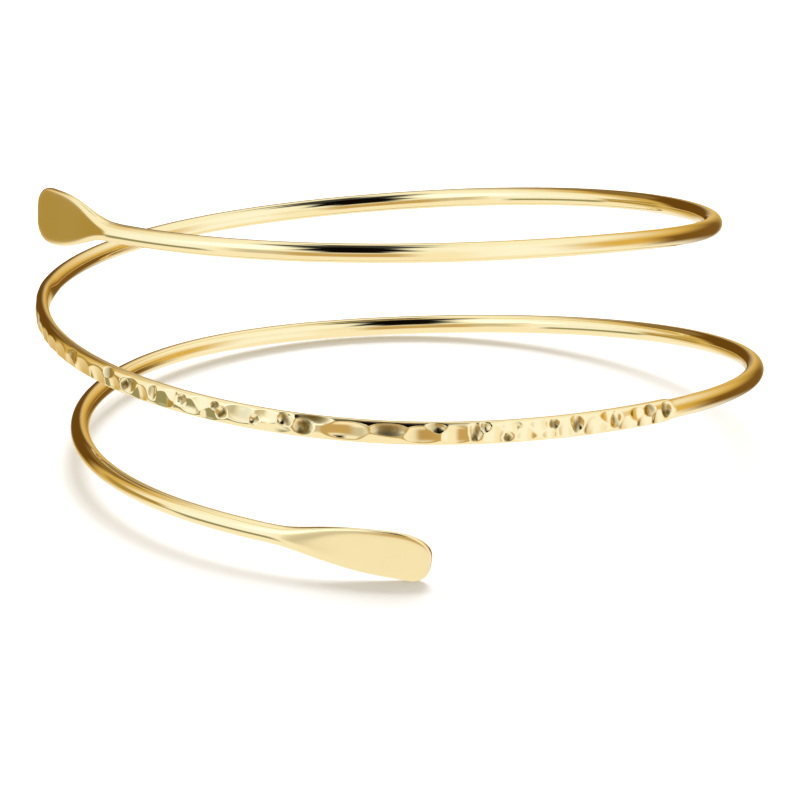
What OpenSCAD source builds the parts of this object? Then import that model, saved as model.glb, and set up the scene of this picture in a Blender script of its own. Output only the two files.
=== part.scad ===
// Open spiral cuff for the upper arm, bent from a single length of round wire.
// The wire makes a little over two turns. Both ends are beaten into flat paddles,
// and the front of the middle turn is beaten into a narrow band of hammer marks.
// The cuff lies on its last turn with the floor at Z = 0, and +Y is its back.
// Angles run anticlockwise seen from above: 270 is the front, 360 the right-hand side.

/* [Coil] */
// Outer diameter of the coil
coil_d = 80; // [64:1:110]
// Rise of the wire from the lower paddle to the upper one, along the coil's own axis
coil_h = 33; // [24:1:60]
// Sideways shift of the coil's centre from its upper end to its lower end
coil_drift = 8.4; // [0:0.2:12]
// Slope of the coil as it leans back on its last turn, as a share of rise over diameter
lean_back = 0.36; // [0:0.01:0.5]
// Angle at which the upper paddle ends
top_tip = 210; // [195:1:230]
// Angle at which the lower paddle ends
low_tip = 990.6; // [960:0.1:1010]

/* [Wire] */
// Diameter of the plain round wire
wire_d = 2.1; // [1.6:0.1:3]

/* [Hammered band] */
// Angle at which the hammered band starts, near the left-hand side
band_start = 528; // [500:1:560]
// Angle at which the hammered band stops, at the front right
band_stop = 679; // [640:1:720]
// Width of the hammered band
band_w = 2.5; // [2:0.1:4]
// Thickness of the hammered band
band_t = 1.6; // [1.2:0.1:2]
// Length over which the wire flattens into the band at its start
band_run_in = 5; // [1:0.5:10]
// Length over which the band turns back into round wire at its stop
band_run_out = 1.2; // [0.5:0.1:6]
// Length of the longest hammer mark
mark_l = 5; // [3:0.1:8]
// Width of the widest hammer mark, which reaches past both edges of the band
mark_w = 5.5; // [4:0.1:8]
// Depth of the deepest hammer mark
mark_deep = 0.45; // [0.1:0.01:0.6]
// Softness of the ridges between hammer marks
ridge_soft = 0.02; // [0.01:0.005:0.06]

/* [Paddles] */
// Length of the upper paddle, with the stretch where it widens out of the wire
top_paddle_l = 12.5; // [9:0.5:20]
// Length of the lower paddle, with the stretch where it widens out of the wire
low_paddle_l = 16.5; // [9:0.5:24]
// Thickness of the paddles
paddle_t = 0.8; // [0.6:0.05:1.2]
// Width of the upper paddle
top_paddle_w = 6.2; // [4:0.1:9]
// Width of the lower paddle
low_paddle_w = 5.6; // [4:0.1:9]
// Length over which the upper paddle's end rounds off
top_round = 3; // [1.5:0.1:6]
// Length over which the upper corner of the lower paddle's end rounds off
low_round_up = 5; // [1.5:0.1:6]
// Length over which the lower corner of the lower paddle's end rounds off
low_round_down = 2.3; // [1.5:0.1:6]
// Twist of the lower paddle, which turns its face towards the floor
low_twist = 20; // [0:1:40]

/* [Hidden] */

// Sides of the swept section
SIDES = 16;
// Angle between sections along plain wire
PLAIN_STEP = 5;
// Distance between sections along the hammered band
BAND_STEP = 0.5;
// Distance between sections along a paddle
PADDLE_STEP = 0.85;
// Sections that round off a paddle's end
END_STEPS = 6;
// Squareness of a section: 2 is an ellipse, and more is nearer to a rectangle
ROUND_SHAPE = 2;
BAND_SHAPE = 2.5;
PADDLE_SHAPE = 5;
// Bluntness of a paddle's end, on the same scale
END_SHAPE = 2.6;

coil_r = (coil_d - wire_d) / 2;
deg_per_mm = 180 / (PI * coil_r);
slope_back = lean_back * coil_h / coil_d;
middle_angle = (top_tip + low_tip) / 2;
gold = [0.87, 0.7, 0.38];

// Course of the wire: the angle, the radius as a share of coil_r,
// and the height along the coil's axis as a share of coil_h
ANGLE = 0;
RADIUS = 1;
HEIGHT = 2;
COURSE = [
    [180, 1.012, 1.07],
    [225, 0.988, 1.005],
    [270, 0.980, 1.0],
    [315, 0.974, 0.98],
    [360, 0.994, 0.873],
    [405, 0.995, 0.817],
    [450, 0.986, 0.733],
    [495, 0.995, 0.672],
    [540, 0.966, 0.605],
    [585, 0.992, 0.493],
    [630, 1.002, 0.395],
    [675, 1.006, 0.416],
    [720, 1.016, 0.387],
    [765, 1.011, 0.338],
    [810, 0.996, 0.287],
    [855, 0.994, 0.278],
    [900, 0.962, 0.184],
    [945, 0.982, 0.084],
    [990, 0.966, 0.0],
    [1035, 0.981, -0.21]
];

// Form of the paddles: the distance from a tip as a share of the paddle's length, then how
// far each edge and the thickness have gone from the wire's to the paddle's own, as shares
FROM_TIP = 0;
TOP_EDGE_UP = 1;
TOP_EDGE_DOWN = 2;
LOW_EDGE_UP = 3;
LOW_EDGE_DOWN = 4;
FLATTENED = 5;
PADDLE = [
    [0.000, 1.00, 0.98, 1.06, 0.96, 1.00],
    [0.125, 1.00, 0.98, 1.12, 0.96, 1.00],
    [0.250, 1.00, 0.97, 1.12, 0.94, 1.00],
    [0.375, 0.99, 0.90, 1.03, 0.90, 1.00],
    [0.500, 0.91, 0.73, 0.89, 0.80, 0.97],
    [0.625, 0.69, 0.49, 0.70, 0.59, 0.86],
    [0.750, 0.37, 0.20, 0.46, 0.38, 0.62],
    [0.875, 0.11, 0.00, 0.20, 0.16, 0.30],
    [1.000, 0.00, 0.00, 0.01, 0.01, 0.03],
    [1.125, 0.00, 0.00, 0.00, 0.00, 0.00]
];

// Hammer marks on the band's outer face: the place along the band as a share of its length,
// the place across it from -1 at its lower edge to 1 at its upper edge, the length as a
// share of mark_l, the width as a share of mark_w, the depth as a share of mark_deep,
// and the tilt across it in degrees
MARK_ALONG = 0;
MARK_ACROSS = 1;
MARK_LENGTH = 2;
MARK_WIDTH = 3;
MARK_DEPTH = 4;
MARK_TILT = 5;
MARKS = [
    [0.033, 0.10, 0.80, 1.00, 0.17, -4],
    [0.060, -0.20, 0.64, 0.91, 0.20, 4],
    [0.083, 0.20, 0.60, 0.91, 0.20, -6],
    [0.109, -0.20, 0.64, 0.91, 0.23, 6],
    [0.136, 0.10, 0.60, 0.91, 0.27, -4],
    [0.159, -0.05, 0.60, 0.91, 0.33, 12],
    [0.185, 0.05, 0.64, 0.82, 0.40, 12],
    [0.212, 0.05, 0.64, 0.86, 0.47, 16],
    [0.238, 0.15, 0.60, 0.86, 0.53, 14],
    [0.262, -0.30, 0.52, 0.73, 0.57, 20],
    [0.272, 0.35, 0.40, 0.45, 0.60, 2],
    [0.291, 0.10, 0.64, 0.86, 0.60, 16],
    [0.321, 0.05, 0.56, 0.86, 0.63, 18],
    [0.343, 0.45, 0.36, 0.45, 0.60, -8],
    [0.349, -0.20, 0.56, 0.73, 0.63, 14],
    [0.369, -0.20, 0.24, 0.27, 0.80, -20],
    [0.378, 0.30, 0.48, 0.55, 0.57, 4],
    [0.391, -0.10, 0.52, 0.77, 0.63, 14],
    [0.410, 0.10, 0.24, 0.55, 0.67, -6],
    [0.425, 0.00, 0.56, 0.82, 0.53, 8],
    [0.436, 0.50, 0.40, 0.45, 0.53, -10],
    [0.448, 0.15, 0.26, 0.27, 0.87, -20],
    [0.460, -0.30, 0.52, 0.64, 0.57, 2],
    [0.473, 0.40, 0.56, 0.64, 0.57, -14],
    [0.483, -0.60, 0.48, 0.55, 0.53, 6],
    [0.488, 0.40, 0.22, 0.23, 0.87, -22],
    [0.496, -0.20, 0.30, 0.27, 0.93, -22],
    [0.518, 0.20, 0.72, 0.64, 0.67, -12],
    [0.534, -0.15, 0.24, 0.23, 0.87, -20],
    [0.545, 0.50, 0.60, 0.59, 0.63, -12],
    [0.553, -0.75, 0.76, 0.45, 0.33, 14],
    [0.567, 0.30, 0.36, 0.36, 0.87, -18],
    [0.586, -0.20, 0.44, 0.45, 1.00, -14],
    [0.595, 0.80, 0.84, 0.23, 0.60, -22],
    [0.630, 0.00, 0.98, 0.55, 0.90, -2],
    [0.663, -0.80, 0.80, 0.45, 0.40, 18],
    [0.672, 0.20, 0.80, 0.36, 0.77, -14],
    [0.707, -0.20, 0.80, 0.55, 0.73, -2],
    [0.720, 0.50, 0.48, 0.32, 0.77, -18],
    [0.741, -0.10, 0.72, 0.59, 0.73, 0],
    [0.760, -0.10, 0.30, 0.50, 0.93, -12],
    [0.770, 0.45, 0.24, 0.27, 0.90, -22],
    [0.782, -0.35, 0.52, 0.59, 0.60, 6],
    [0.794, -0.60, 0.22, 0.23, 0.80, -18],
    [0.798, 0.40, 0.48, 0.55, 0.60, -14],
    [0.814, -0.20, 0.48, 0.55, 0.63, 8],
    [0.828, 0.40, 0.48, 0.55, 0.60, -8],
    [0.840, -0.40, 0.40, 0.45, 0.63, 8],
    [0.844, 0.30, 0.24, 0.27, 0.87, -20],
    [0.857, -0.20, 0.44, 0.59, 0.60, 4],
    [0.870, 0.00, 0.30, 0.50, 0.90, -16],
    [0.892, -0.10, 0.56, 0.73, 0.87, 16],
    [0.907, 0.60, 0.36, 0.41, 0.60, -10],
    [0.917, -0.10, 0.28, 0.41, 0.83, -14],
    [0.932, -0.25, 0.48, 0.64, 0.60, 16],
    [0.944, 0.40, 0.36, 0.45, 0.60, -4],
    [0.954, -0.35, 0.40, 0.55, 0.60, 16],
    [0.962, 0.35, 0.32, 0.36, 0.73, -14],
    [0.973, -0.20, 0.32, 0.59, 0.60, 14],
    [0.986, 0.00, 0.26, 0.36, 1.00, -22]
];

// Share that climbs from 0 to 1 with a soft start and stop
function eased(x) = let(t = min(1, max(0, x))) t * t * (3 - 2 * t);

// Value between two others
function between(a, b, share) = a + (b - a) * share;

// Smooth curve through the pull of four neighbouring rows, a uniform cubic B-spline
function pull_of_four(a, b, c, d, t) =
    (a * pow(1 - t, 3) + b * (3 * pow(t, 3) - 6 * t * t + 4)
    + c * (3 * t + 3 * t * t - 3 * pow(t, 3) + 1) + d * pow(t, 3)) / 6;

// Value in one column of an evenly stepped table, for a place in its first column
function drawn_from(table, column, place) =
    let(
        step = table[1][0] - table[0][0],
        row = (place - table[0][0]) / step,
        i = floor(row),
        last = len(table) - 1,
        near = [for (k = [-1:2]) table[min(last, max(0, i + k))][column]]
    )
    pull_of_four(near[0], near[1], near[2], near[3], row - i);

// Direction leaned over as the coil rests on its last turn
function leaned(p) =
    let(back = atan(slope_back))
    [p.x, p.y * cos(back) + p.z * sin(back), p.z * cos(back) - p.y * sin(back)];

// Centre of the wire at an angle
function centre_at(a) =
    let(
        r = coil_r * drawn_from(COURSE, RADIUS, a),
        x = r * cos(a) + coil_drift * (a - middle_angle) / (low_tip - top_tip)
    )
    leaned([x, r * sin(a), coil_h * drawn_from(COURSE, HEIGHT, a)]);

function unit(v) = v / norm(v);

// Distance along the wire from each paddle's tip
function past_top_tip(a) = (a - top_tip) / deg_per_mm;
function before_low_tip(a) = (low_tip - a) / deg_per_mm;

// How far the wire has become the band, from 0 to 1
function banded(a) =
    eased((a - band_start) / (deg_per_mm * band_run_in))
    * eased((band_stop - a) / (deg_per_mm * band_run_out));

// Share of a paddle's half width that is left near its tip
function end_left(from_tip, round_l) =
    let(t = 1 - min(1, max(0, from_tip / round_l)))
    pow(1 - pow(t, END_SHAPE), 1 / END_SHAPE);

// Sizes of a section: half its thickness, its reach up, its reach down, its squareness
function section_at(a) =
    let(
        on_top = past_top_tip(a) < before_low_tip(a),
        from_tip = on_top ? past_top_tip(a) : before_low_tip(a),
        share = from_tip / (on_top ? top_paddle_l : low_paddle_l),
        edge_up = drawn_from(PADDLE, on_top ? TOP_EDGE_UP : LOW_EDGE_UP, share),
        edge_down = drawn_from(PADDLE, on_top ? TOP_EDGE_DOWN : LOW_EDGE_DOWN, share),
        flat = drawn_from(PADDLE, FLATTENED, share),
        end_w = on_top ? top_paddle_w : low_paddle_w,
        up_left = end_left(from_tip, on_top ? top_round : low_round_up),
        down_left = end_left(from_tip, on_top ? top_round : low_round_down),
        plain_w = between(wire_d, band_w, banded(a)),
        plain_t = between(wire_d, band_t, banded(a)),
        reach_up = between(plain_w, end_w, edge_up) / 2,
        reach_down = between(plain_w, end_w, edge_down) / 2,
        half_t = between(plain_t, paddle_t, flat) / 2,
        shape = between(between(ROUND_SHAPE, BAND_SHAPE, banded(a)), PADDLE_SHAPE, flat)
    )
    [half_t, reach_up * up_left, reach_down * down_left, shape];

// Twist of a section about the wire
function twist_at(a) =
    low_twist * drawn_from(PADDLE, LOW_EDGE_DOWN, before_low_tip(a) / low_paddle_l);

// How far out the outer face of the smooth band lies, for a place across it
function face_out(section, across) =
    section[0] * pow(max(0, 1 - pow(abs(across), section[3])), 1 / section[3]);

function mark_angle(mark) = between(band_start, band_stop, mark[MARK_ALONG]);

// How far out a hammer mark lets the face reach: a shallow hollow with a tilted floor
function mark_limit(mark, section, a, across) =
    let(
        along = (a - mark_angle(mark)) / deg_per_mm,
        aside = (across - mark[MARK_ACROSS]) * section[1],
        half_l = mark_l * mark[MARK_LENGTH] / 2,
        half_w = mark_w * mark[MARK_WIDTH] / 2,
        hollow = 1 - pow(along / half_l, 2) - pow(aside / half_w, 2)
    )
    face_out(section, mark[MARK_ACROSS]) - mark_deep * mark[MARK_DEPTH] * hollow
    + tan(mark[MARK_TILT]) * aside;

// How far out the beaten face lies: under the smooth face and every limit, with the
// ridges between them rounded over
function beaten_out(smooth, limits) =
    let(pulls = [for (limit = limits) exp((smooth - limit) / ridge_soft)])
    max(0, smooth - ridge_soft * ln(1 + pulls * [for (p = pulls) 1]));

// Marks whose length takes in an angle
function marks_near(a) =
    [for (m = MARKS) if (abs(a - mark_angle(m)) < deg_per_mm * mark_l * m[MARK_LENGTH]) m];

// Points round one section, anticlockwise seen along the wire towards the upper paddle
function section_points(a) =
    let(
        c = centre_at(a),
        along = unit(centre_at(a + 0.5) - centre_at(a - 0.5)),
        away = leaned([cos(a), sin(a), 0]),
        out_flat = unit(away - (away * along) * along),
        up_flat = cross(out_flat, along),
        twist = twist_at(a),
        out = out_flat * cos(twist) - up_flat * sin(twist),
        up = up_flat * cos(twist) + out_flat * sin(twist),
        s = section_at(a),
        near = banded(a) > 0 ? marks_near(a) : []
    )
    [for (i = [0:SIDES - 1])
        let(
            turn = 360 * i / SIDES,
            x = sign(cos(turn)) * pow(abs(cos(turn)), 2 / s[3]) * s[0],
            across = sign(sin(turn)) * pow(abs(sin(turn)), 2 / s[3]),
            y = across * (across > 0 ? s[1] : s[2]),
            limits = [for (m = near) mark_limit(m, s, a, across)],
            beaten = x > 0 && len(limits) > 0 ? beaten_out(x, limits) : x
        )
        c + out * beaten + up * y];

// Evenly spaced angles from a up to but not with b
function spaced(a, b, step) =
    let(n = max(1, ceil((b - a) / step)))
    [for (i = [0:n - 1]) a + (b - a) * i / n];

// Distances from a tip that round its end off, closest together at the tip
end_l = max(top_round, low_round_up, low_round_down);
end_places = [for (i = [1:END_STEPS]) end_l * (1 - cos(90 * i / (END_STEPS + 1)))];
top_neck = top_tip + top_paddle_l * deg_per_mm;
low_neck = low_tip - low_paddle_l * deg_per_mm;
last_end = end_places[END_STEPS - 1] * deg_per_mm;
angles = concat(
    [for (d = end_places) top_tip + d * deg_per_mm],
    [for (a = spaced(top_tip + last_end, top_neck, PADDLE_STEP * deg_per_mm))
        if (a > top_tip + last_end) a],
    spaced(top_neck, band_start, PLAIN_STEP),
    spaced(band_start, band_stop, BAND_STEP * deg_per_mm),
    spaced(band_stop, low_neck, PLAIN_STEP),
    spaced(low_neck, low_tip - last_end, PADDLE_STEP * deg_per_mm),
    [for (i = [END_STEPS - 1:-1:0]) low_tip - end_places[i] * deg_per_mm]
);

// The whole skin, moved so that it stands on the floor with its box centred on the origin
loose_points = [for (a = angles) each section_points(a)];
xs = [for (p = loose_points) p.x];
ys = [for (p = loose_points) p.y];
zs = [for (p = loose_points) p.z];
middle = [(min(xs) + max(xs)) / 2, (min(ys) + max(ys)) / 2, min(zs)];
skin_points = [for (p = loose_points) p - middle];

// Two triangles for each side between neighbouring sections, and a flat face at each tip
rings = len(angles);
skin_faces = concat(
    [[for (i = [SIDES - 1:-1:0]) i]],
    [for (k = [0:rings - 2], i = [0:SIDES - 1])
        let(
            a = k * SIDES + i,
            b = k * SIDES + (i + 1) % SIDES
        )
        each [[a, b + SIDES, a + SIDES], [a, b, b + SIDES]]],
    [[for (i = [0:SIDES - 1]) (rings - 1) * SIDES + i]]
);

module spiral_band() {
    color(gold)
    polyhedron(points = skin_points, faces = skin_faces, convexity = 10);
}

spiral_band();
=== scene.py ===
"""Upper arm cuff: an open spiral of polished gold wire, lying on its last turn on a white floor.

The skin is one surface, a section carried along the course of the wire. It follows the same
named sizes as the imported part, only finer: the plain round wire, the hammered band on the
front of the middle turn, and the two ends beaten into paddles. Sizes are in millimetres until
a mesh is made, and angles run anticlockwise seen from above, with 270 degrees at the front.
"""

import logging
import math
from dataclasses import dataclass
from enum import Enum

import bpy
import numpy as np
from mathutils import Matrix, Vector


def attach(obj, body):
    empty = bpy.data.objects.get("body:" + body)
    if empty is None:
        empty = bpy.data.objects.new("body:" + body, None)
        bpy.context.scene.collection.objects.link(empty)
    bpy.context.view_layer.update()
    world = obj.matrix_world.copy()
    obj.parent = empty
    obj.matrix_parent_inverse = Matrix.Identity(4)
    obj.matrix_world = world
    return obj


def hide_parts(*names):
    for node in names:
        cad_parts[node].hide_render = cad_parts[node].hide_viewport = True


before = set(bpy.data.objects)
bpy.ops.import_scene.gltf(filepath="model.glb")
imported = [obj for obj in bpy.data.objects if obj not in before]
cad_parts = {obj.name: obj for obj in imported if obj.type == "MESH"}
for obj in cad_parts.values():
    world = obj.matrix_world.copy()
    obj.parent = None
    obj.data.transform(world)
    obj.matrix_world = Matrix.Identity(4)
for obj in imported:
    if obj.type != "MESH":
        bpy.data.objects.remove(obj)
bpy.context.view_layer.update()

log = logging.getLogger("arm_cuff")
MM = 0.001
NODE = "spiral_band"
SLOT = "polished_gold"
UV_PER_MM = 0.1
Values = float | np.ndarray


# Shared arithmetic

def eased(x: np.ndarray) -> np.ndarray:
    """Returns a share that climbs from 0 to 1 with a soft start and stop: t t (3 - 2 t)."""
    t = np.clip(x, 0.0, 1.0)
    return t * t * (3.0 - 2.0 * t)


def between(a: Values, b: Values, share: Values) -> Values:
    """Returns the value that lies a share of the way from a to b."""
    return a + (b - a) * share


def unit(v: np.ndarray) -> np.ndarray:
    """Returns each vector of an array with its length made 1."""
    return v / np.linalg.norm(v, axis=-1, keepdims=True)


def drawn_from(rows: np.ndarray, column: int, place: np.ndarray) -> np.ndarray:
    """Reads one column of an evenly stepped table as a uniform cubic B-spline.

    Between two rows the value is the pull of the four nearest rows, with weights
    (1-t)^3, 3t^3-6t^2+4, 3t+3t^2-3t^3 and t^3, all over 6.

    Args:
        rows: the table, with its even steps in the first column.
        column: which column to read.
        place: where to read it, in the units of the first column.

    Returns:
        The value at each place.
    """
    step = rows[1, 0] - rows[0, 0]
    row = (np.asarray(place, float) - rows[0, 0]) / step
    i = np.floor(row).astype(int)
    t = row - i
    last = len(rows) - 1
    a, b, c, d = (rows[np.clip(i + k, 0, last), column] for k in (-1, 0, 1, 2))
    return (a * (1 - t) ** 3 + b * (3 * t ** 3 - 6 * t * t + 4)
            + c * (3 * t + 3 * t * t - 3 * t ** 3 + 1) + d * t ** 3) / 6


# Course of the wire

# Angle, radius as a share of the wire's own radius, height as a share of the rise
COURSE = np.array([
    [180, 1.012, 1.070], [225, 0.988, 1.005], [270, 0.980, 1.000], [315, 0.974, 0.980],
    [360, 0.994, 0.873], [405, 0.995, 0.817], [450, 0.986, 0.733], [495, 0.995, 0.672],
    [540, 0.966, 0.605], [585, 0.992, 0.493], [630, 1.002, 0.395], [675, 1.006, 0.416],
    [720, 1.016, 0.387], [765, 1.011, 0.338], [810, 0.996, 0.287], [855, 0.994, 0.278],
    [900, 0.962, 0.184], [945, 0.982, 0.084], [990, 0.966, 0.000], [1035, 0.981, -0.210],
])

# Distance from a tip as a share of the paddle's length, then how far the upper paddle's two
# edges, the lower paddle's two edges and the thickness have gone to the paddle's own sizes
PADDLE = np.array([
    [0.000, 1.00, 0.98, 1.06, 0.96, 1.00], [0.125, 1.00, 0.98, 1.12, 0.96, 1.00],
    [0.250, 1.00, 0.97, 1.12, 0.94, 1.00], [0.375, 0.99, 0.90, 1.03, 0.90, 1.00],
    [0.500, 0.91, 0.73, 0.89, 0.80, 0.97], [0.625, 0.69, 0.49, 0.70, 0.59, 0.86],
    [0.750, 0.37, 0.20, 0.46, 0.38, 0.62], [0.875, 0.11, 0.00, 0.20, 0.16, 0.30],
    [1.000, 0.00, 0.00, 0.01, 0.01, 0.03], [1.125, 0.00, 0.00, 0.00, 0.00, 0.00],
])
# The thickness's column in the paddle table
FLATTENED = 5

# Hammer marks: place along the band, place across it (-1 lower edge, 1 upper edge), length as
# a share of the longest mark, width as a share of the widest, depth as a share of the deepest,
# tilt across the band in degrees
MARKS = np.array([
    [0.033, 0.10, 0.80, 1.00, 0.17, -4], [0.060, -0.20, 0.64, 0.91, 0.20, 4],
    [0.083, 0.20, 0.60, 0.91, 0.20, -6], [0.109, -0.20, 0.64, 0.91, 0.23, 6],
    [0.136, 0.10, 0.60, 0.91, 0.27, -4], [0.159, -0.05, 0.60, 0.91, 0.33, 12],
    [0.185, 0.05, 0.64, 0.82, 0.40, 12], [0.212, 0.05, 0.64, 0.86, 0.47, 16],
    [0.238, 0.15, 0.60, 0.86, 0.53, 14], [0.262, -0.30, 0.52, 0.73, 0.57, 20],
    [0.272, 0.35, 0.40, 0.45, 0.60, 2], [0.291, 0.10, 0.64, 0.86, 0.60, 16],
    [0.321, 0.05, 0.56, 0.86, 0.63, 18], [0.343, 0.45, 0.36, 0.45, 0.60, -8],
    [0.349, -0.20, 0.56, 0.73, 0.63, 14], [0.369, -0.20, 0.24, 0.27, 0.80, -20],
    [0.378, 0.30, 0.48, 0.55, 0.57, 4], [0.391, -0.10, 0.52, 0.77, 0.63, 14],
    [0.410, 0.10, 0.24, 0.55, 0.67, -6], [0.425, 0.00, 0.56, 0.82, 0.53, 8],
    [0.436, 0.50, 0.40, 0.45, 0.53, -10], [0.448, 0.15, 0.26, 0.27, 0.87, -20],
    [0.460, -0.30, 0.52, 0.64, 0.57, 2], [0.473, 0.40, 0.56, 0.64, 0.57, -14],
    [0.483, -0.60, 0.48, 0.55, 0.53, 6], [0.488, 0.40, 0.22, 0.23, 0.87, -22],
    [0.496, -0.20, 0.30, 0.27, 0.93, -22], [0.518, 0.20, 0.72, 0.64, 0.67, -12],
    [0.534, -0.15, 0.24, 0.23, 0.87, -20], [0.545, 0.50, 0.60, 0.59, 0.63, -12],
    [0.553, -0.75, 0.76, 0.45, 0.33, 14], [0.567, 0.30, 0.36, 0.36, 0.87, -18],
    [0.586, -0.20, 0.44, 0.45, 1.00, -14], [0.595, 0.80, 0.84, 0.23, 0.60, -22],
    [0.630, 0.00, 0.98, 0.55, 0.90, -2], [0.663, -0.80, 0.80, 0.45, 0.40, 18],
    [0.672, 0.20, 0.80, 0.36, 0.77, -14], [0.707, -0.20, 0.80, 0.55, 0.73, -2],
    [0.720, 0.50, 0.48, 0.32, 0.77, -18], [0.741, -0.10, 0.72, 0.59, 0.73, 0],
    [0.760, -0.10, 0.30, 0.50, 0.93, -12], [0.770, 0.45, 0.24, 0.27, 0.90, -22],
    [0.782, -0.35, 0.52, 0.59, 0.60, 6], [0.794, -0.60, 0.22, 0.23, 0.80, -18],
    [0.798, 0.40, 0.48, 0.55, 0.60, -14], [0.814, -0.20, 0.48, 0.55, 0.63, 8],
    [0.828, 0.40, 0.48, 0.55, 0.60, -8], [0.840, -0.40, 0.40, 0.45, 0.63, 8],
    [0.844, 0.30, 0.24, 0.27, 0.87, -20], [0.857, -0.20, 0.44, 0.59, 0.60, 4],
    [0.870, 0.00, 0.30, 0.50, 0.90, -16], [0.892, -0.10, 0.56, 0.73, 0.87, 16],
    [0.907, 0.60, 0.36, 0.41, 0.60, -10], [0.917, -0.10, 0.28, 0.41, 0.83, -14],
    [0.932, -0.25, 0.48, 0.64, 0.60, 16], [0.944, 0.40, 0.36, 0.45, 0.60, -4],
    [0.954, -0.35, 0.40, 0.55, 0.60, 16], [0.962, 0.35, 0.32, 0.36, 0.73, -14],
    [0.973, -0.20, 0.32, 0.59, 0.60, 14], [0.986, 0.00, 0.26, 0.36, 1.00, -22],
])

# Shade painted into the hammer marks' hollows: the mark's row in the table above, counted from
# 0, how dark the painted shade is, and which way its streak runs (1 rising to the right, -1
# falling, 0 for a round spot)
PAINTED_SHADE = np.array([
    [6, 0.35, 1], [10, 0.45, 0], [13, 0.55, 0], [15, 1.00, 0], [16, 0.45, 1], [18, 0.45, -1],
    [21, 0.80, -1], [25, 0.75, 0], [26, 1.00, 1], [27, 0.30, 0], [28, 0.75, 1], [31, 0.80, -1],
    [32, 0.95, 0], [33, 0.85, 0], [36, 0.75, 0], [37, 0.25, 0], [38, 0.45, 0], [40, 1.00, 1],
    [41, 0.95, -1], [43, 0.80, 0], [48, 0.70, 0], [50, 0.80, 1], [53, 0.75, -1], [57, 0.75, 0],
    [59, 1.00, 0],
])


@dataclass(frozen=True)
class Coil:
    """The course that the wire's centre follows, in millimetres and degrees."""

    diameter: float = 80.0
    rise: float = 33.0
    drift: float = 8.4
    lean_back: float = 0.36
    wire: float = 2.1
    top_tip: float = 210.0
    low_tip: float = 990.6
    squareness: float = 2.0
    short_turn: float = 0.5

    @property
    def radius(self) -> float:
        """Radius of the wire's centre line."""
        return (self.diameter - self.wire) / 2

    @property
    def turn_per_mm(self) -> float:
        """Degrees of turn in a millimetre of wire."""
        return 180 / (math.pi * self.radius)

    def leaned(self, p: np.ndarray) -> np.ndarray:
        """Turns places or directions back about X, as the coil rests.

        Args:
            p: places or directions.

        Returns:
            The same, turned by atan(lean times rise over diameter).
        """
        back = math.atan(self.lean_back * self.rise / self.diameter)
        s, c = math.sin(back), math.cos(back)
        x, y, z = p[..., 0], p[..., 1], p[..., 2]
        return np.stack([x, y * c + z * s, z * c - y * s], -1)

    def centre(self, angle: np.ndarray) -> np.ndarray:
        """Works out the wire's centre from the radius share and height share at each angle.

        Args:
            angle: angles along the wire.

        Returns:
            The centre at each angle, with a drift along X from the upper end to the lower.
        """
        a = np.radians(angle)
        r = self.radius * drawn_from(COURSE, 1, angle)
        middle = (self.top_tip + self.low_tip) / 2
        x = r * np.cos(a) + self.drift * (angle - middle) / (self.low_tip - self.top_tip)
        z = self.rise * drawn_from(COURSE, 2, angle)
        return self.leaned(np.stack([x, r * np.sin(a), z], -1))

    def axes(self, angle: np.ndarray) -> tuple[np.ndarray, np.ndarray]:
        """Gives the directions that a section is drawn in.

        Args:
            angle: the sections' angles.

        Returns:
            Unit vectors outwards from the coil and up across the wire, both square to the
            line between the centres a short turn ahead and a short turn behind.
        """
        step = self.short_turn
        along = unit(self.centre(angle + step) - self.centre(angle - step))
        a = np.radians(angle)
        away = self.leaned(np.stack([np.cos(a), np.sin(a), 0 * a], -1))
        out = unit(away - np.sum(away * along, -1, keepdims=True) * along)
        return out, np.cross(out, along)


class WireEnd(Enum):
    """The two ends of the wire, with each one's columns in the paddle table."""

    UPPER = (1, 2)
    LOWER = (3, 4)


@dataclass(frozen=True)
class Paddle:
    """One end of the wire, beaten flat and wide, with a blunt rounded tip."""

    end: WireEnd
    length: float
    width: float
    round_up: float
    round_down: float
    twist: float = 0.0
    thickness: float = 0.8
    bluntness: float = 2.6
    edge_round: float = 0.34
    edge_bluntness: float = 2.2
    squareness: float = 5.0

    def edges(self, from_tip: np.ndarray, wire: float) -> tuple[np.ndarray, np.ndarray]:
        """Gives the reach of the paddle's two edges from the wire's centre.

        Args:
            from_tip: distances from the tip.
            wire: full width of the wire behind the paddle.

        Returns:
            The reach up and the reach down, rounded off towards the tip as
            (1 - (1 - d / round)^n)^(1 / n), where n is the bluntness.
        """
        reach = []
        for column, round_l in zip(self.end.value, (self.round_up, self.round_down)):
            share = drawn_from(PADDLE, column, from_tip / self.length)
            t = 1 - np.clip(from_tip / round_l, 0.0, 1.0)
            left = (1 - t ** self.bluntness) ** (1 / self.bluntness)
            reach.append(between(wire, self.width, share) / 2 * left)
        return reach[0], reach[1]

    def flat(self, from_tip: np.ndarray) -> np.ndarray:
        """Works out how far the wire has gone from round to flat, from the paddle table."""
        return drawn_from(PADDLE, FLATTENED, from_tip / self.length)

    def lip(self, from_tip: np.ndarray) -> np.ndarray:
        """Works out the thickness left on the tip's soft lip, rounded off as its edges are."""
        t = 1 - np.clip(from_tip / self.edge_round, 0.0, 1.0)
        return (1 - t ** self.edge_bluntness) ** (1 / self.edge_bluntness)

    def turned(self, from_tip: np.ndarray) -> np.ndarray:
        """Works out the section's twist in radians, which follows the lower edge's share."""
        share = drawn_from(PADDLE, self.end.value[1], from_tip / self.length)
        return math.radians(self.twist) * share


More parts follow.
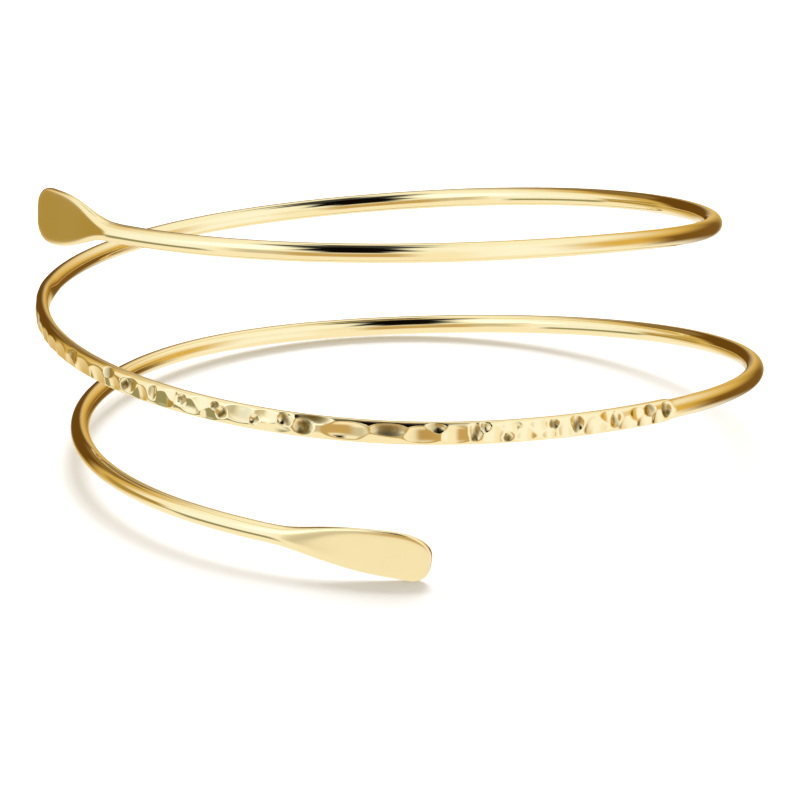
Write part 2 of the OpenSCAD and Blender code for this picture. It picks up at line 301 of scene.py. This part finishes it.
@dataclass(frozen=True)
class HammeredBand:
    """The stretch of the middle turn that is beaten flat, with its hammer marks and the shade
    painted into them.
    """

    start: float = 528.0
    stop: float = 679.0
    width: float = 2.5
    thickness: float = 1.6
    run_in: float = 5.0
    run_out: float = 1.2
    mark_length: float = 5.0
    mark_width: float = 5.5
    mark_depth: float = 0.45
    ridge_soft: float = 0.02
    streak_fall: float = 2.0
    squareness: float = 2.5

    def share(self, angle: np.ndarray, turn_per_mm: float) -> np.ndarray:
        """Works out how far the wire has become the band, eased in and out at its ends."""
        return (eased((angle - self.start) / (turn_per_mm * self.run_in))
                * eased((self.stop - angle) / (turn_per_mm * self.run_out)))

    def beaten(self, out: np.ndarray, across: np.ndarray, angle: np.ndarray,
               half_t: np.ndarray, half_w: np.ndarray, shape: np.ndarray,
               turn_per_mm: float) -> tuple[np.ndarray, np.ndarray]:
        """Presses the hammer marks into the outer face.

        Each mark lets the face reach no further than the face's height at its middle, less
        depth (1 - (along / half length)^2 - (aside / half width)^2), plus tan(tilt) aside.
        The face is the lowest of itself and of all the marks, with the ridges rounded over:
        out - soft ln(1 + sum of exp((out - limit) / soft)).

        Args:
            out: distance out of each point, sections by sides.
            across: place across the band of each point, from -1 to 1.
            angle: angle of each section.
            half_t: half thickness of each section.
            half_w: half width of each section.
            shape: squareness of each section.
            turn_per_mm: degrees of turn in a millimetre of wire.

        Returns:
            The new distances out, and how dark each point's painted shade is: the mark's
            darkness times the root of its hollow there, falling off as exp(-fall d^2) with the
            distance d from its streak, weighed by the marks' pull.
        """
        pulls = np.ones_like(out)
        painted_shades = np.zeros_like(out)
        dark, slope = np.zeros(len(MARKS)), np.zeros(len(MARKS))
        shade_painted = PAINTED_SHADE[:, 0].astype(int)
        dark[shade_painted], slope[shade_painted] = PAINTED_SHADE[:, 1], PAINTED_SHADE[:, 2]
        for mark, dark_i, slope_i in zip(MARKS, dark, slope):
            along_share, across_i, length, width, depth, tilt = mark
            along = (angle - between(self.start, self.stop, along_share)) / turn_per_mm
            half_l = self.mark_length * length / 2
            half_m = self.mark_width * width / 2
            near = np.abs(along) < self.mark_length * length
            face = half_t[near] * (1 - abs(across_i) ** shape[near]) ** (1 / shape[near])
            aside = (across[near] - across_i) * half_w[near][:, None]
            hollow = 1 - (along[near][:, None] / half_l) ** 2 - (aside / half_m) ** 2
            limit = (face[:, None] - self.mark_depth * depth * hollow
                     + math.tan(math.radians(tilt)) * aside)
            pull = np.exp((out[near] - limit) / self.ridge_soft)
            pulls[near] += pull
            # Painted shade: darkest at the deepest part of each listed mark, drawn out along its
            # streak.
            streak = slope_i * (along[near][:, None] / half_l - slope_i * aside / half_m)
            painted_shades[near] += (pull * dark_i * np.sqrt(np.maximum(0.0, hollow))
                             * np.exp(-self.streak_fall * streak ** 2))
        new = np.where(out > 0, np.maximum(0.0, out - self.ridge_soft * np.log(pulls)), out)
        return new, np.where(out > 0, painted_shades / pulls, 0.0)


# The skin

@dataclass
class SpiralBand:
    """The whole cuff as one closed skin: plain wire, hammered band and two paddles."""

    coil: Coil = Coil()
    band: HammeredBand = HammeredBand()
    upper: Paddle = Paddle(WireEnd.UPPER, length=12.5, width=6.2, round_up=3.0, round_down=3.0)
    lower: Paddle = Paddle(WireEnd.LOWER, length=16.5, width=5.6, round_up=5.0, round_down=2.3,
                           twist=20.0)
    sides: int = 60
    plain_step: float = 1.1
    band_step: float = 0.17
    paddle_step: float = 0.3
    end_length: float = 5.0
    end_rings: int = 22
    first_ring: float = 0.004
    lip_rings: tuple[float, ...] = (0.015, 0.035, 0.065, 0.105, 0.16, 0.22, 0.29)

    def angles(self) -> np.ndarray:
        """Spaces the sections, closest together at the tips and on the band.

        At a tip the distances are end (1 - cos t) at even steps of t, and more on the lip.

        Returns:
            The angle of every section.
        """
        per_mm = self.coil.turn_per_mm
        end = self.end_length
        ends = end * (1 - np.cos(np.linspace(0, math.pi / 2, self.end_rings + 1)))
        ends[0] = self.first_ring
        ends = np.unique(np.concatenate([ends, self.lip_rings]))

        def run(a: float, b: float, step: float) -> np.ndarray:
            """Returns evenly stepped angles from a up to but not with b."""
            count = max(1, math.ceil((b - a) / (step * per_mm)))
            return np.linspace(a, b, count, endpoint=False)

        top, low = self.coil.top_tip, self.coil.low_tip
        return np.concatenate([
            top + ends[:-1] * per_mm,
            run(top + end * per_mm, top + self.upper.length * per_mm, self.paddle_step),
            run(top + self.upper.length * per_mm, self.band.start, self.plain_step),
            run(self.band.start, self.band.stop, self.band_step),
            run(self.band.stop, low - self.lower.length * per_mm, self.plain_step),
            run(low - self.lower.length * per_mm, low - end * per_mm, self.paddle_step),
            low - ends[::-1] * per_mm,
        ])

    def surface(self) -> tuple[np.ndarray, np.ndarray, np.ndarray, np.ndarray]:
        """Works out the skin as a grid of points.

        A section is a superellipse, |x / t|^n + |y / w|^n = 1, drawn at even angles. It is
        carried along the course with x outwards and y up, turned by the twist, and its outer
        face takes the hammer marks.

        Returns:
            Points (sections by sides by 3), distance along the wire of each section, how far
            each section is a paddle, and how dark the painted shade is at each point.
        """
        angle = self.angles()
        coil, per_mm = self.coil, self.coil.turn_per_mm
        from_top = (angle - coil.top_tip) / per_mm
        from_low = (coil.low_tip - angle) / per_mm
        banded = self.band.share(angle, per_mm)
        wide = between(coil.wire, self.band.width, banded)
        thick = between(coil.wire, self.band.thickness, banded)
        on_top = from_top < from_low
        up_t, down_t = self.upper.edges(from_top, coil.wire)
        up_l, down_l = self.lower.edges(from_low, coil.wire)
        flat_t, flat_l = self.upper.flat(from_top), self.lower.flat(from_low)
        plain = flat_t + flat_l == 0
        reach_up = np.where(plain, wide / 2, np.where(on_top, up_t, up_l))
        reach_down = np.where(plain, wide / 2, np.where(on_top, down_t, down_l))
        flat = np.where(on_top, flat_t, flat_l)
        half_t = between(thick, self.upper.thickness, flat) / 2
        half_t = half_t * self.upper.lip(from_top) * self.lower.lip(from_low)
        shape = between(between(coil.squareness, self.band.squareness, banded),
                        self.upper.squareness, flat)

        turn = np.linspace(0, 2 * math.pi, self.sides, endpoint=False)
        c, s = np.cos(turn)[None, :], np.sin(turn)[None, :]
        n = shape[:, None]
        reach = (np.abs(c) ** n + np.abs(s) ** n) ** (-1 / n)
        across = reach * s
        x = half_t[:, None] * reach * c
        y = across * np.where(across > 0, reach_up[:, None], reach_down[:, None])
        # The marks press the face in and give the shade painted into their hollows.
        beaten, painted_shade = self.band.beaten(x, across, angle, half_t, reach_up, shape, per_mm)
        on_band = banded[:, None] > 0
        x, painted_shade = np.where(on_band, beaten, x), np.where(on_band, painted_shade, 0.0)

        out, up = coil.axes(angle)
        twist = self.upper.turned(from_top) + self.lower.turned(from_low)
        ct, st = np.cos(twist)[:, None], np.sin(twist)[:, None]
        out, up = out * ct - up * st, up * ct + out * st
        points = (coil.centre(angle)[:, None, :] + x[..., None] * out[:, None, :]
                  + y[..., None] * up[:, None, :])
        low, high = points.min((0, 1)), points.max((0, 1))
        points = points - np.array([(low[0] + high[0]) / 2, (low[1] + high[1]) / 2, low[2]])
        return points, from_top, flat, painted_shade

    def build(self) -> bpy.types.Object:
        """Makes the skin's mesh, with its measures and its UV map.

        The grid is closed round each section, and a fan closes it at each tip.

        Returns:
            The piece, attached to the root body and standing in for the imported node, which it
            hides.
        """
        points, along, paddle, painted_shade = self.surface()
        rings, sides = points.shape[:2]
        tips = points[[0, -1]].mean(1)
        verts = np.concatenate([points.reshape(-1, 3), tips]) * MM
        k, i = np.meshgrid(np.arange(rings - 1), np.arange(sides), indexing="ij")
        j = (i + 1) % sides
        here, ahead = k * sides, (k + 1) * sides
        quads = np.stack([here + i, here + j, ahead + j, ahead + i], -1).reshape(-1, 4)
        side = np.arange(sides)
        nxt = (side + 1) % sides
        base = (rings - 1) * sides
        first = np.stack([np.full(sides, rings * sides), nxt, side], -1)
        last = np.stack([np.full(sides, rings * sides + 1), base + side, base + nxt], -1)
        corners = np.concatenate([quads.ravel(), first.ravel(), last.ravel()])
        counts = np.concatenate([np.full(len(quads), 4), np.full(2 * sides, 3)])
        starts = np.concatenate([[0], np.cumsum(counts)[:-1]])

        mesh = bpy.data.meshes.new("gold_wire")
        mesh.vertices.add(len(verts))
        mesh.vertices.foreach_set("co", verts.astype(np.float32).ravel())
        mesh.loops.add(len(corners))
        mesh.loops.foreach_set("vertex_index", corners.astype(np.int32))
        mesh.polygons.add(len(counts))
        mesh.polygons.foreach_set("loop_start", starts.astype(np.int32))
        mesh.update(calc_edges=True)
        mesh.polygons.foreach_set("use_smooth", np.ones(len(counts), bool))

        round_share = np.concatenate([
            np.stack([i, i + 1, i + 1, i], -1).ravel(),
            np.stack([side + 0.5, side + 1, side], -1).ravel(),
            np.stack([side + 0.5, side, side + 1], -1).ravel()]) / sides
        ring_of = np.concatenate([
            np.stack([k, k, k + 1, k + 1], -1).ravel(),
            np.zeros(3 * sides, int), np.full(3 * sides, rings - 1)])
        uv = np.stack([along[ring_of] * UV_PER_MM, round_share], -1)
        layer = mesh.uv_layers.new(name="along_wire")
        layer.data.foreach_set("uv", uv.astype(np.float32).ravel())
        # The paddle share and the shade painted into the marks go onto the mesh.
        for name, values in (("paddle", np.broadcast_to(paddle[:, None], (rings, sides))),
                             ("painted_shade", painted_shade)):
            data = np.ravel(values)
            data = np.concatenate([data, data[[0, -1]]])
            mesh.attributes.new(name, "FLOAT", "POINT").data.foreach_set(
                "value", data.astype(np.float32))
        mesh.validate()
        piece = bpy.data.objects.new("gold_wire", mesh)
        bpy.context.scene.collection.objects.link(piece)
        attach(piece, "root")
        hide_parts(NODE)
        log.info("gold_wire: %d sections of %d sides, %d faces", rings, sides, len(counts))
        return piece


# Materials

def add_node(tree: bpy.types.NodeTree, kind: str, x: float, y: float,
             **settings: object) -> bpy.types.Node:
    """Adds a shader node.

    Args:
        tree: the tree that gets the node.
        kind: Blender's name of the node's type.
        x: place of the node along the tree.
        y: place of the node up the tree.
        **settings: properties to set on the node.

    Returns:
        The node.
    """
    node = tree.nodes.new(kind)
    node.location = (x, y)
    for name, value in settings.items():
        setattr(node, name, value)
    return node


def new_group(name: str, inputs: dict[str, tuple[str, object]],
              outputs: dict[str, str]) -> bpy.types.NodeTree:
    """Starts a shader node group.

    Args:
        name: the group's name.
        inputs: each input's name, with its kind and its first value.
        outputs: each output's name, with its kind.

    Returns:
        The group, with an input node called "in" and an output node called "out".
    """
    group = bpy.data.node_groups.new(name, "ShaderNodeTree")
    for label, (kind, value) in inputs.items():
        group.interface.new_socket(label, in_out="INPUT", socket_type=kind).default_value = value
    for label, kind in outputs.items():
        group.interface.new_socket(label, in_out="OUTPUT", socket_type=kind)
    add_node(group, "NodeGroupInput", -1000, 0).name = "in"
    add_node(group, "NodeGroupOutput", 900, 0).name = "out"
    return group


def set_span(node: bpy.types.Node, low: float, high: float) -> None:
    """Sets which values of its input a Map Range node spreads over its output."""
    node.inputs["From Min"].default_value = low
    node.inputs["From Max"].default_value = high


def worked_lines(detail: float = 3.0, deepest_from: float = 0.45,
                 deepest_to: float = 0.75) -> bpy.types.NodeTree:
    """Builds the fine lines that polishing or filing leaves in the metal.

    A noise on the wire's own map, with many repeats around the wire and few along it,
    gives a height and a mask of the deepest lines.

    Args:
        detail: how many finer noises are laid over the first.
        deepest_from: height at which the mask starts.
        deepest_to: height at which the mask is full.

    Returns:
        The group, with outputs Height and Mask.
    """
    group = new_group("worked_lines",
                      {"Around": ("NodeSocketFloat", 60.0), "Along": ("NodeSocketFloat", 6.0)},
                      {"Height": "NodeSocketFloat", "Mask": "NodeSocketFloat"})
    links = group.links
    uv = add_node(group, "ShaderNodeUVMap", -900, 300, uv_map="along_wire")
    stretch = add_node(group, "ShaderNodeCombineXYZ", -700, 0)
    scaled = add_node(group, "ShaderNodeVectorMath", -500, 200, operation="MULTIPLY")
    noise = add_node(group, "ShaderNodeTexNoise", -300, 200)
    noise.inputs["Scale"].default_value = 1.0
    noise.inputs["Detail"].default_value = detail
    deepest = add_node(group, "ShaderNodeMapRange", 0, 100)
    set_span(deepest, deepest_from, deepest_to)
    links.new(group.nodes["in"].outputs["Along"], stretch.inputs["X"])
    links.new(group.nodes["in"].outputs["Around"], stretch.inputs["Y"])
    links.new(uv.outputs["UV"], scaled.inputs[0])
    links.new(stretch.outputs["Vector"], scaled.inputs[1])
    links.new(scaled.outputs["Vector"], noise.inputs["Vector"])
    links.new(noise.outputs["Fac"], group.nodes["out"].inputs["Height"])
    links.new(noise.outputs["Fac"], deepest.inputs["Value"])
    links.new(deepest.outputs["Result"], group.nodes["out"].inputs["Mask"])
    return group


def hand_waviness() -> bpy.types.NodeTree:
    """Builds the slow waves that bending and beating by hand leave in a surface.

    Returns:
        The group, with one output, Height, from a soft noise on Object coordinates.
    """
    group = new_group("hand_waviness",
                      {"Scale": ("NodeSocketFloat", 160.0), "Detail": ("NodeSocketFloat", 1.0)},
                      {"Height": "NodeSocketFloat"})
    links = group.links
    place = add_node(group, "ShaderNodeTexCoord", -700, 200)
    noise = add_node(group, "ShaderNodeTexNoise", -300, 200)
    links.new(place.outputs["Object"], noise.inputs["Vector"])
    links.new(group.nodes["in"].outputs["Scale"], noise.inputs["Scale"])
    links.new(group.nodes["in"].outputs["Detail"], noise.inputs["Detail"])
    links.new(noise.outputs["Fac"], group.nodes["out"].inputs["Height"])
    return group


def uneven_tone(detail: float = 4.0, drift_from: float = 0.35,
                drift_to: float = 0.75) -> bpy.types.NodeTree:
    """Builds a colour that drifts a little from one tone towards another.

    Args:
        detail: how many finer noises are laid over the first.
        drift_from: height of the noise at which the second tone starts.
        drift_to: height of the noise at which the second tone has its full share.

    Returns:
        The group, with one output, Color: the first tone, with a share of the second that
        follows a soft noise on Object coordinates.
    """
    tone = ("NodeSocketColor", (1, 1, 1, 1))
    group = new_group("uneven_tone",
                      {"Main": tone, "Other": tone, "Scale": ("NodeSocketFloat", 90.0),
                       "Share": ("NodeSocketFloat", 0.3)},
                      {"Color": "NodeSocketColor"})
    links = group.links
    place = add_node(group, "ShaderNodeTexCoord", -800, 300)
    noise = add_node(group, "ShaderNodeTexNoise", -600, 300)
    noise.inputs["Detail"].default_value = detail
    soft = add_node(group, "ShaderNodeMapRange", -400, 300)
    set_span(soft, drift_from, drift_to)
    mix = add_node(group, "ShaderNodeMix", 300, 0, data_type="RGBA")
    links.new(place.outputs["Object"], noise.inputs["Vector"])
    links.new(group.nodes["in"].outputs["Scale"], noise.inputs["Scale"])
    links.new(noise.outputs["Fac"], soft.inputs["Value"])
    links.new(group.nodes["in"].outputs["Share"], soft.inputs["To Max"])
    links.new(soft.outputs["Result"], mix.inputs["Factor"])
    links.new(group.nodes["in"].outputs["Main"], mix.inputs["A"])
    links.new(group.nodes["in"].outputs["Other"], mix.inputs["B"])
    links.new(mix.outputs["Result"], group.nodes["out"].inputs["Color"])
    return group


def put_group(tree: bpy.types.NodeTree, group: bpy.types.NodeTree, y: float,
              values: dict[str, object]) -> bpy.types.Node:
    """Places a shared group in a material.

    Args:
        tree: the material's tree.
        group: the shared group.
        y: place of the node up the tree.
        values: the material's own values for the group's inputs.

    Returns:
        The group's node.
    """
    node = add_node(tree, "ShaderNodeGroup", -1100, y, node_tree=group)
    for label, value in values.items():
        node.inputs[label].default_value = value
    return node


@dataclass(frozen=True)
class GoldFinish:
    """The cuff's gold: mirror-polished wire, satin paddles, and shade painted into some marks.
    """

    name: str = SLOT
    bright: tuple[float, float, float, float] = (0.95, 0.82, 0.48, 1.0)
    warm: tuple[float, float, float, float] = (0.93, 0.77, 0.41, 1.0)
    # Painted shade: a dark brown laid into the hammer marks' hollows.
    painted_shade_colour: tuple[float, float, float, float] = (0.17, 0.10, 0.008, 1.0)
    painted_shade_share: float = 0.97
    mirror: float = 0.045
    worn: float = 0.10
    satin: float = 0.20
    dull: float = 0.45
    warm_share: float = 0.5
    wave_scale: float = 160.0
    wave_height: float = 0.003
    polish_around: float = 60.0
    polish_along: float = 6.0
    polish_height: float = 0.0005
    filing_around: float = 150.0
    filing_along: float = 14.0
    filing_height: float = 0.0012
    # Where the painted shade starts and is full, and the noise that breaks it into patches.
    painted_shade_from: float = 0.15
    painted_shade_to: float = 0.85
    patch_scale: float = 700.0
    patch_detail: float = 3.0
    patch_from: float = 0.35
    patch_to: float = 0.50
    patch_least: float = 0.5

    def material(self, groups: dict[str, bpy.types.NodeTree]) -> bpy.types.Material:
        """Builds the material.

        The colour is the alloy's uneven tone, with painted shade laid over it in patches in the
        hammer marks. The roughness follows the polishing lines, and is satin on the paddles and
        dull where the shade is painted. The normal takes the hand waviness, the polishing lines
        and, on the paddles, the filing lines.

        Args:
            groups: the shared shader groups by name.

        Returns:
            The material.
        """
        mat = bpy.data.materials.new(self.name)
        mat.use_nodes = True
        tree = mat.node_tree
        links = tree.links
        shader = tree.nodes["Principled BSDF"]
        shader.inputs["Metallic"].default_value = 1.0
        tone = put_group(tree, groups["tone"], 500,
                         {"Main": self.bright, "Other": self.warm, "Share": self.warm_share})
        waves = put_group(tree, groups["waves"], 200, {"Scale": self.wave_scale})
        polish = put_group(tree, groups["lines"], -50,
                           {"Around": self.polish_around, "Along": self.polish_along})
        filing = put_group(tree, groups["lines"], -300,
                           {"Around": self.filing_around, "Along": self.filing_along})
        # Painted shade in the hammer marks, as stored on the mesh, broken into patches below.
        painted_shade = add_node(tree, "ShaderNodeAttribute", -1100, 750, attribute_name="painted_shade")
        patches = put_group(tree, groups["waves"], 950,
                            {"Scale": self.patch_scale, "Detail": self.patch_detail})
        paddle = add_node(tree, "ShaderNodeAttribute", -1100, -550, attribute_name="paddle")

        darkest = add_node(tree, "ShaderNodeMapRange", -850, 750)
        set_span(darkest, self.painted_shade_from, self.painted_shade_to)
        darkest.inputs["To Max"].default_value = self.painted_shade_share
        patchy = add_node(tree, "ShaderNodeMapRange", -850, 950)
        set_span(patchy, self.patch_from, self.patch_to)
        patchy.inputs["To Min"].default_value = self.patch_least
        shade_painted = add_node(tree, "ShaderNodeMath", -700, 850, operation="MULTIPLY")
        colour = add_node(tree, "ShaderNodeMix", -600, 600, data_type="RGBA")
        colour.inputs["B"].default_value = self.painted_shade_colour
        links.new(painted_shade.outputs["Fac"], darkest.inputs["Value"])
        links.new(patches.outputs["Height"], patchy.inputs["Value"])
        links.new(darkest.outputs["Result"], shade_painted.inputs[0])
        links.new(patchy.outputs["Result"], shade_painted.inputs[1])
        links.new(shade_painted.outputs["Value"], colour.inputs["Factor"])
        links.new(tone.outputs["Color"], colour.inputs["A"])
        links.new(colour.outputs["Result"], shader.inputs["Base Color"])

        rough = add_node(tree, "ShaderNodeMapRange", -850, 0)
        rough.inputs["To Min"].default_value = self.mirror
        rough.inputs["To Max"].default_value = self.worn
        satin = add_node(tree, "ShaderNodeMix", -600, 0, data_type="FLOAT")
        satin.inputs["B"].default_value = self.satin
        links.new(polish.outputs["Mask"], rough.inputs["Value"])
        links.new(paddle.outputs["Fac"], satin.inputs["Factor"])
        dull = add_node(tree, "ShaderNodeMix", -400, 0, data_type="FLOAT")
        dull.inputs["B"].default_value = self.dull
        links.new(rough.outputs["Result"], satin.inputs["A"])
        links.new(satin.outputs["Result"], dull.inputs["A"])
        links.new(shade_painted.outputs["Value"], dull.inputs["Factor"])
        links.new(dull.outputs["Result"], shader.inputs["Roughness"])

        bumps = []
        relief = ((waves, self.wave_height), (polish, self.polish_height),
                  (filing, self.filing_height))
        for n, (group, height) in enumerate(relief):
            bump = add_node(tree, "ShaderNodeBump", -600 + 200 * n, -400)
            bump.inputs["Distance"].default_value = height * MM
            links.new(group.outputs["Height"], bump.inputs["Height"])
            if bumps:
                links.new(bumps[-1].outputs["Normal"], bump.inputs["Normal"])
            bumps.append(bump)
        links.new(paddle.outputs["Fac"], bumps[-1].inputs["Strength"])
        links.new(bumps[-1].outputs["Normal"], shader.inputs["Normal"])
        return mat


@dataclass(frozen=True)
class FloorFinish:
    """The floor's smooth white card, with a faint unevenness that only shows close up."""

    name: str = "white_card"
    white: tuple[float, float, float, float] = (0.92, 0.92, 0.92, 1.0)
    shade: tuple[float, float, float, float] = (0.91, 0.91, 0.915, 1.0)
    roughness: float = 0.6
    shine: float = 0.2
    tone_scale: float = 30.0
    wave_scale: float = 60.0
    wave_height: float = 0.02

    def material(self, groups: dict[str, bpy.types.NodeTree]) -> bpy.types.Material:
        """Builds the material.

        Args:
            groups: the shared shader groups by name.

        Returns:
            The material.
        """
        mat = bpy.data.materials.new(self.name)
        mat.use_nodes = True
        tree = mat.node_tree
        shader = tree.nodes["Principled BSDF"]
        shader.inputs["Roughness"].default_value = self.roughness
        shader.inputs["Specular IOR Level"].default_value = self.shine
        tone = put_group(tree, groups["tone"], 300,
                         {"Main": self.white, "Other": self.shade, "Scale": self.tone_scale})
        waves = put_group(tree, groups["waves"], 0, {"Scale": self.wave_scale})
        bump = add_node(tree, "ShaderNodeBump", -600, 0)
        bump.inputs["Distance"].default_value = self.wave_height * MM
        tree.links.new(tone.outputs["Color"], shader.inputs["Base Color"])
        tree.links.new(waves.outputs["Height"], bump.inputs["Height"])
        tree.links.new(bump.outputs["Normal"], shader.inputs["Normal"])
        return mat


# Studio

@dataclass(frozen=True)
class Panel:
    """A soft-edged card of the light tent, placed by direction from the cuff.

    Azimuth 0 is behind the cuff, 90 to its right and 180 towards the camera, in degrees.
    """

    azimuth: float
    elevation: float
    half_width: float
    half_height: float
    soft: float
    colour: tuple[float, float, float]

    def window(self, az: np.ndarray, el: np.ndarray) -> np.ndarray:
        """Works out how much of the card each direction sees.

        Args:
            az: azimuths.
            el: elevations.

        Returns:
            1 inside the card, easing to 0 over its soft edge.
        """
        across = np.abs((az - self.azimuth + 180) % 360 - 180)
        up = np.abs(el - self.elevation)
        return (eased((self.half_width + self.soft - across) / self.soft)
                * eased((self.half_height + self.soft - up) / self.soft))


@dataclass
class Studio:
    """White floor, one soft lamp from above, a light tent with its cards, and the camera."""

    floor_finish: FloorFinish = FloorFinish()
    floor_half: float = 3000.0
    tent_radius: float = 2000.0
    tent_steps: tuple[int, int] = (241, 121)
    base: tuple[float, float, float] = (1.02, 1.05, 1.06)
    panels: tuple[Panel, ...] = (
        Panel(180, -45, 180, 52, 27, (1.02, 0.99, 0.95)),
        Panel(116, 11, 21, 48, 14, (1.05, 1.1, 1.24)),
        Panel(-116, 26, 12, 53, 16, (1.04, 1.12, 1.3)),
        Panel(-134, 45, 12, 14, 10, (1.35, 1.4, 1.65)),
        Panel(-45, 9, 17, 29, 21, (0.7, 0.49, 0.16)),
        Panel(-75, -9, 12, 9, 8, (0.44, 0.31, 0.085)),
        Panel(50, 2, 41, 10, 30, (0.76, 0.51, 0.14)),
        Panel(-26, 5, 18, 14, 14, (0.15, 0.07, 0.01)),
        Panel(-33, 31, 18, 5, 7, (0.26, 0.17, 0.06)),
        Panel(43, -13, 19, 10, 22, (0.2, 0.1, 0.02)),
        Panel(-112, -24, 18, 7, 7, (0.34, 0.33, 0.21)),
        Panel(-157, 2, 8, 12, 12, (0.66, 0.63, 0.58)),
        Panel(-178, -5, 13, 13, 12, (0.6, 0.42, 0.19)),
        Panel(180, 100, 180, 22, 7, (0.04, 0.045, 0.055)),
        Panel(6, 73, 13, 12, 8, (0.06, 0.055, 0.05)),
        Panel(182, 82, 34, 10, 12, (0.01, 0.01, 0.01)),
        Panel(178, 61, 19, 20, 9, (0.003, 0.002, 0.002)),
        Panel(179, 40, 8, 14, 9, (0.005, 0.003, 0.002)),
    )
    lamp_place: tuple[float, float, float] = (0.0, 300.0, 430.0)
    lamp_size: float = 360.0
    lamp_power: float = 2.6
    lamp_tint: tuple[float, float, float] = (0.98, 1.0, 1.06)
    room_light: float = 0.85
    room_tint: tuple[float, float, float] = (1.0, 0.95, 0.87)
    lens: float = 323.35
    sensor: float = 36.0
    nearest: float = 50.0
    farthest: float = 20000.0
    camera_place: tuple[float, float, float] = (0.006, -753.468, 286.158)
    camera_tilt: float = 69.61

    def floor(self, groups: dict[str, bpy.types.NodeTree]) -> bpy.types.Object:
        """Lays the plain white floor, which the gold's reflections look past.

        Args:
            groups: the shared shader groups by name.

        Returns:
            The floor.
        """
        size = self.floor_half * MM
        corners = [(-size, -size, 0), (size, -size, 0), (size, size, 0), (-size, size, 0)]
        mesh = bpy.data.meshes.new("floor")
        mesh.from_pydata(corners, [], [(0, 1, 2, 3)])
        mesh.materials.append(self.floor_finish.material(groups))
        piece = bpy.data.objects.new("floor", mesh)
        piece.visible_glossy = False
        bpy.context.scene.collection.objects.link(piece)
        log.info("floor: %g m square", 2 * size)
        return piece

    def tent(self) -> bpy.types.Object:
        """Raises the light tent, which only reflections see.

        The tent is a sphere round the cuff. Its brightness at a direction is the base, with
        each card laid over it in turn by its window.

        Returns:
            The tent.
        """
        n, m = self.tent_steps
        az, el = np.meshgrid(np.linspace(0, 360, n), np.linspace(-90, 90, m), indexing="ij")
        a, u = np.radians(az), np.radians(el)
        way = np.stack([np.cos(u) * np.sin(a), np.cos(u) * np.cos(a), np.sin(u)], -1)
        verts = self.tent_radius * way
        glow = np.broadcast_to(np.array(self.base), verts.shape)
        for panel in self.panels:
            glow = between(glow, np.array(panel.colour), panel.window(az, el)[..., None])
        k, i = np.meshgrid(np.arange(n - 1), np.arange(m - 1), indexing="ij")
        faces = np.stack([k * m + i, k * m + i + 1, (k + 1) * m + i + 1, (k + 1) * m + i], -1)
        mesh = bpy.data.meshes.new("light_tent")
        mesh.from_pydata((verts.reshape(-1, 3) * MM).tolist(), [], faces.reshape(-1, 4).tolist())
        colours = np.concatenate([glow.reshape(-1, 3), np.ones((n * m, 1))], -1)
        mesh.color_attributes.new("glow", "FLOAT_COLOR", "POINT").data.foreach_set(
            "color", colours.astype(np.float32).ravel())
        mat = bpy.data.materials.new("tent_glow")
        mat.use_nodes = True
        tree = mat.node_tree
        tree.nodes.remove(tree.nodes["Principled BSDF"])
        seen = add_node(tree, "ShaderNodeAttribute", -400, 0, attribute_name="glow")
        emit = add_node(tree, "ShaderNodeEmission", -100, 0)
        tree.links.new(seen.outputs["Color"], emit.inputs["Color"])
        tree.links.new(emit.outputs["Emission"], tree.nodes["Material Output"].inputs["Surface"])
        mesh.materials.append(mat)
        piece = bpy.data.objects.new("light_tent", mesh)
        piece.visible_camera = False
        piece.visible_diffuse = False
        piece.visible_shadow = False
        bpy.context.scene.collection.objects.link(piece)
        log.info("light_tent: %d cards", len(self.panels))
        return piece

    def lamps(self) -> bpy.types.Object:
        """Hangs the soft lamp that lights the floor, and fills the room with even light.

        Returns:
            The lamp.
        """
        light = bpy.data.lights.new("overhead_softbox", "AREA")
        light.shape = "SQUARE"
        light.size = self.lamp_size * MM
        light.energy = self.lamp_power
        light.color = self.lamp_tint
        lamp = bpy.data.objects.new("overhead_softbox", light)
        lamp.location = Vector(self.lamp_place) * MM
        lamp.rotation_euler = (-lamp.location).to_track_quat("-Z", "Y").to_euler()
        lamp.visible_glossy = False
        lamp.visible_camera = False
        bpy.context.scene.collection.objects.link(lamp)
        world = bpy.data.worlds.new("room")
        world.use_nodes = True
        glow = world.node_tree.nodes["Background"]
        glow.inputs["Color"].default_value = (*self.room_tint, 1)
        glow.inputs["Strength"].default_value = self.room_light
        bpy.context.scene.world = world
        log.info("lamps: overhead_softbox and the room's even light")
        return lamp

    def camera(self) -> bpy.types.Object:
        """Sets up the camera at the photograph's angle, looking a little down on the front.

        Returns:
            The camera.
        """
        view = bpy.data.cameras.new("camera")
        view.lens = self.lens
        view.sensor_width = self.sensor
        view.clip_start = self.nearest * MM
        view.clip_end = self.farthest * MM
        piece = bpy.data.objects.new("camera", view)
        piece.location = [v * MM for v in self.camera_place]
        piece.rotation_euler = (math.radians(self.camera_tilt), 0, 0)
        bpy.context.scene.collection.objects.link(piece)
        bpy.context.scene.camera = piece
        log.info("camera: %g mm lens, %g degrees down", self.lens, 90 - self.camera_tilt)
        return piece


def main() -> None:
    """Builds the studio and the cuff in order."""
    logging.basicConfig(level=logging.INFO, format="%(name)s: %(message)s")
    bpy.context.scene.view_settings.view_transform = "Standard"
    groups = {"tone": uneven_tone(), "lines": worked_lines(), "waves": hand_waviness()}
    studio = Studio()
    studio.floor(groups)
    studio.tent()
    studio.lamps()
    studio.camera()
    cuff = SpiralBand().build()
    cuff.data.materials.append(GoldFinish().material(groups))


if __name__ == "__main__":
    main()
